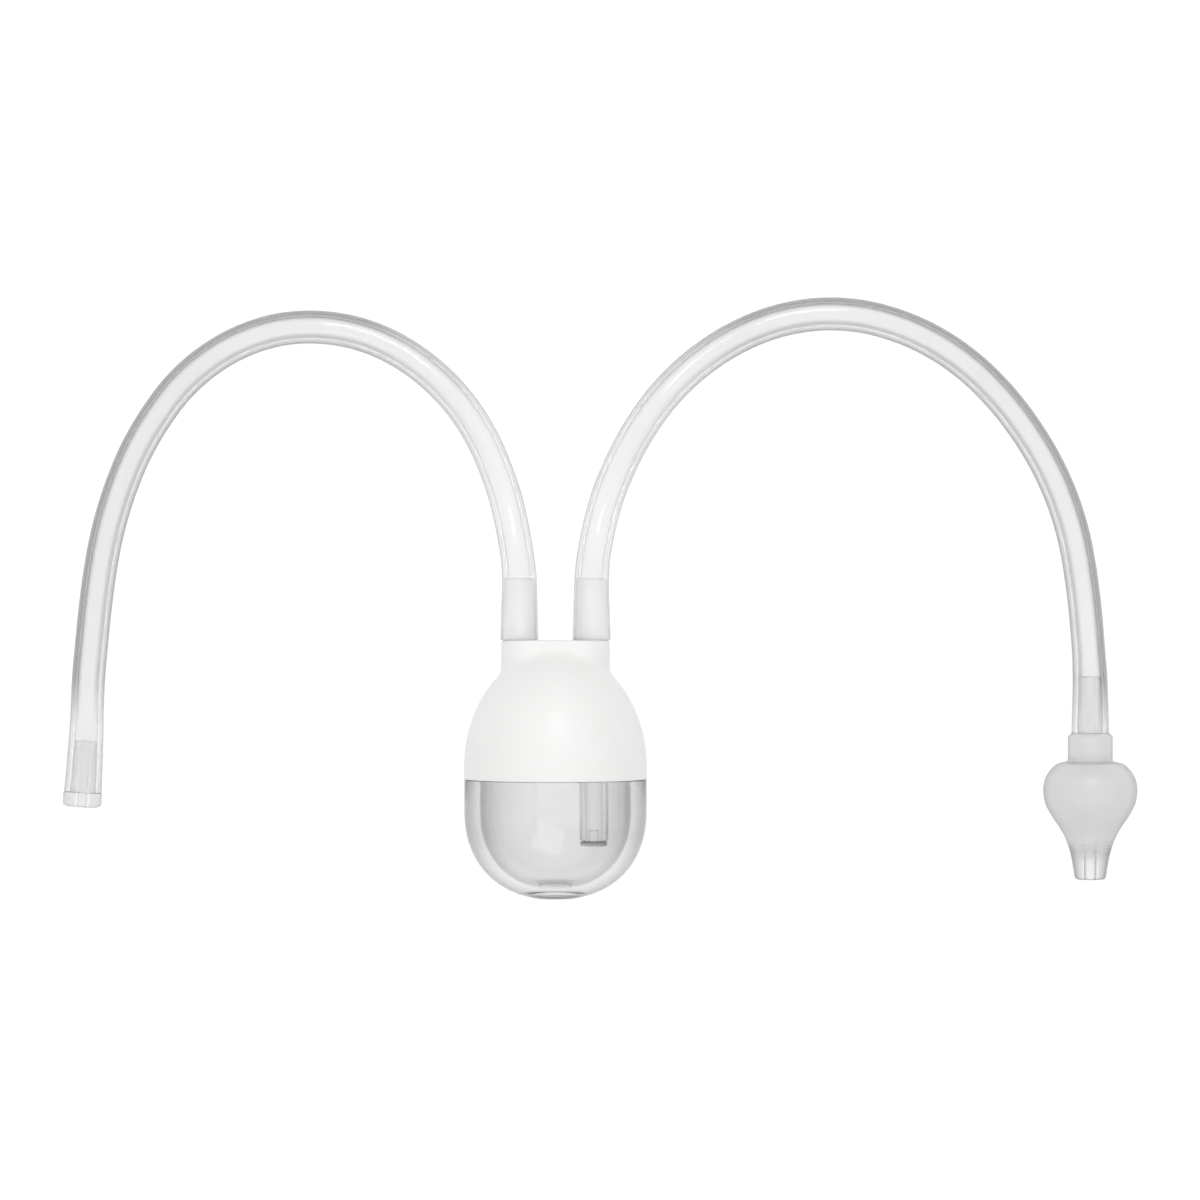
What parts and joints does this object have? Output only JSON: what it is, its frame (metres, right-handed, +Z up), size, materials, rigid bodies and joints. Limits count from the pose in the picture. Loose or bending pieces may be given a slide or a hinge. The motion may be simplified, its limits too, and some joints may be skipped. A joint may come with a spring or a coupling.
{
  "type": "nasal aspirator",
  "caption": "Mouth-suction nasal aspirator: white cap over a clear cup, two clear silicone hoses, mouthpiece and soft bulb nose tip.",
  "frame": {"origin": "on the table, under the middle of the cap and cup lying on their side", "axes": "+Y along the cap and cup towards the hose spigots, +X towards the nose tip, +Z up"},
  "size_m": [0.2256, 0.1255, 0.038],
  "materials": {
    "white_polypropylene": "satin moulded",
    "clear_polypropylene": "polished clear",
    "natural_polypropylene": "moulded natural, half clear",
    "clear_silicone": "soft satin, half clear"
  },
  "bodies": {
    "cap_body": {"cap": "white_polypropylene", "seal_ring": "clear_silicone", "dip_tube": "natural_polypropylene"},
    "cup_body": {"cup": "clear_polypropylene"},
    "flap_body": {"backflow_flap": "clear_silicone"},
    "suction_line": {"suction_hose": "clear_silicone"},
    "mouthpiece_body": {"mouthpiece": "natural_polypropylene"},
    "nasal_line": {"nasal_hose": "clear_silicone"},
    "connector_body": {"tip_connector": "natural_polypropylene"},
    "nose_tip_body": {"nose_tip": "clear_silicone"}
  },
  "joints": [
    {"name": "cup_pull_off", "type": "slide", "parent": "cap_body", "child": "cup_body", "axis": [0, -1, 0], "range_m": [0, 0.035]},
    {"name": "flap_bend", "type": "hinge", "parent": "cap_body", "child": "flap_body", "pos_m": [0.008, -0.0215, 0.0147], "axis": [1, 0, 0], "range_deg": [0, 50], "stiffness_Nm_per_rad": 0.0001},
    {"name": "suction_hose_pull_off", "type": "slide", "parent": "cap_body", "child": "suction_line", "axis": [0, 1, 0], "range_m": [0, 0.016]},
    {"name": "mouthpiece_pull_out", "type": "slide", "parent": "suction_line", "child": "mouthpiece_body", "axis": [-0.061, -0.9981, 0], "range_m": [0, 0.014]},
    {"name": "nasal_hose_pull_off", "type": "slide", "parent": "cap_body", "child": "nasal_line", "axis": [0, 1, 0], "range_m": [0, 0.016]},
    {"name": "connector_pull_out", "type": "slide", "parent": "nasal_line", "child": "connector_body", "axis": [0, -1, 0], "range_m": [0, 0.015]},
    {"name": "nose_tip_pull_off", "type": "slide", "parent": "connector_body", "child": "nose_tip_body", "axis": [0, -1, 0], "range_m": [0, 0.014]}
  ]
}
